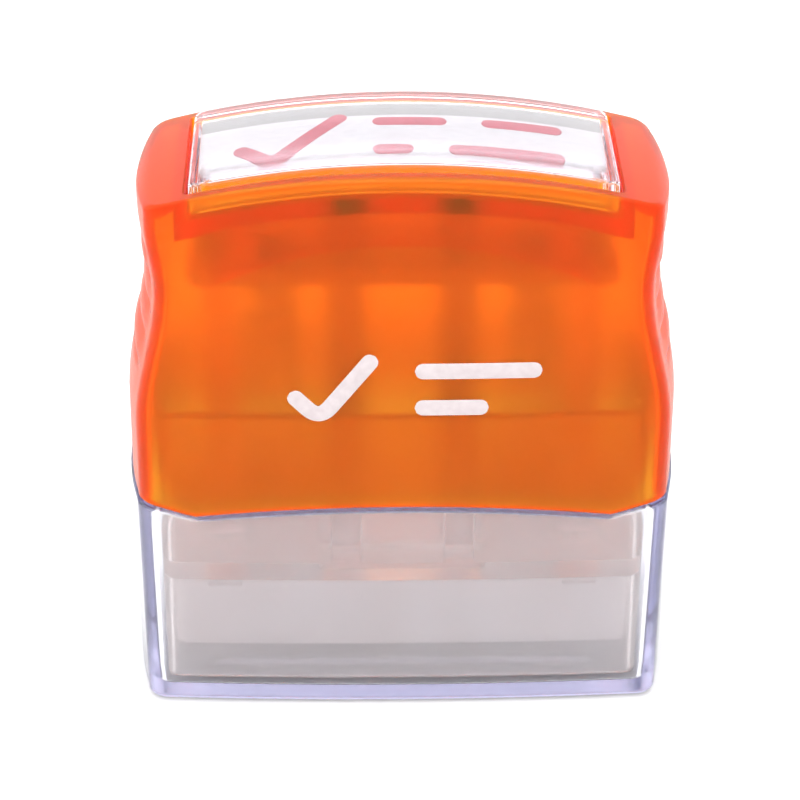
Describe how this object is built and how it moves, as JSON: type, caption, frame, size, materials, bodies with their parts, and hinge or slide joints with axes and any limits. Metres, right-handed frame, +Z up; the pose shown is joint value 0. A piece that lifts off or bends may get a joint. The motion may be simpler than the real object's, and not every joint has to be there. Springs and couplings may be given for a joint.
{
  "type": "self inking stamp",
  "caption": "Spring-loaded pre-inked hand stamp with a translucent waisted handle, clear label window, sliding skirt and clear dust cap.",
  "frame": {"origin": "centre of the dust cap's underside", "axes": "+Z up, front of the stamp towards -Y, +X along its width to the viewer's right"},
  "size_m": [0.0536, 0.0248, 0.0579],
  "materials": {
    "translucent_orange": "moulded translucent orange plastic, satin outside",
    "clear_window": "polished clear plastic",
    "label_paper": "smooth white label stock with a printed mark",
    "plug_rubber": "matt soft plug",
    "milky_plastic": "natural translucent white plastic",
    "white_plastic": "white moulded plastic",
    "ink_sponge": "felt sponge soaked with red ink",
    "die_foam": "microporous foam, inked",
    "bezel_plastic": "white moulded plastic",
    "skirt_plastic": "clear to milky moulded plastic",
    "spring_steel": "bright spring wire",
    "clear_cap": "polished clear plastic"
  },
  "bodies": {
    "cap": {"dust_cap": "clear_cap"},
    "handle": {"handle_shell": "translucent_orange", "label_card": "label_paper", "refill_plug_left": "plug_rubber", "refill_plug_right": "plug_rubber", "inner_carrier": "milky_plastic", "die_mount": "white_plastic", "ink_sponge": "ink_sponge", "flash_die": "die_foam", "die_bezel": "bezel_plastic", "return_spring_left": "spring_steel", "return_spring_right": "spring_steel"},
    "skirt": {"skirt": "skirt_plastic"},
    "window": {"window_lens": "clear_window"}
  },
  "joints": [
    {"name": "handle_pull", "type": "slide", "parent": "cap", "child": "handle", "axis": [0, 0, 1], "range_m": [0, 0.028]},
    {"name": "skirt_press", "type": "slide", "parent": "handle", "child": "skirt", "axis": [0, 0, 1], "range_m": [0, 0.0035], "stiffness_N_per_m": 700, "springref_m": -0.006, "deforming": ["return_spring_left", "return_spring_right"]},
    {"name": "window_lift", "type": "slide", "parent": "handle", "child": "window", "axis": [0, 0, 1], "range_m": [0, 0.008]}
  ]
}
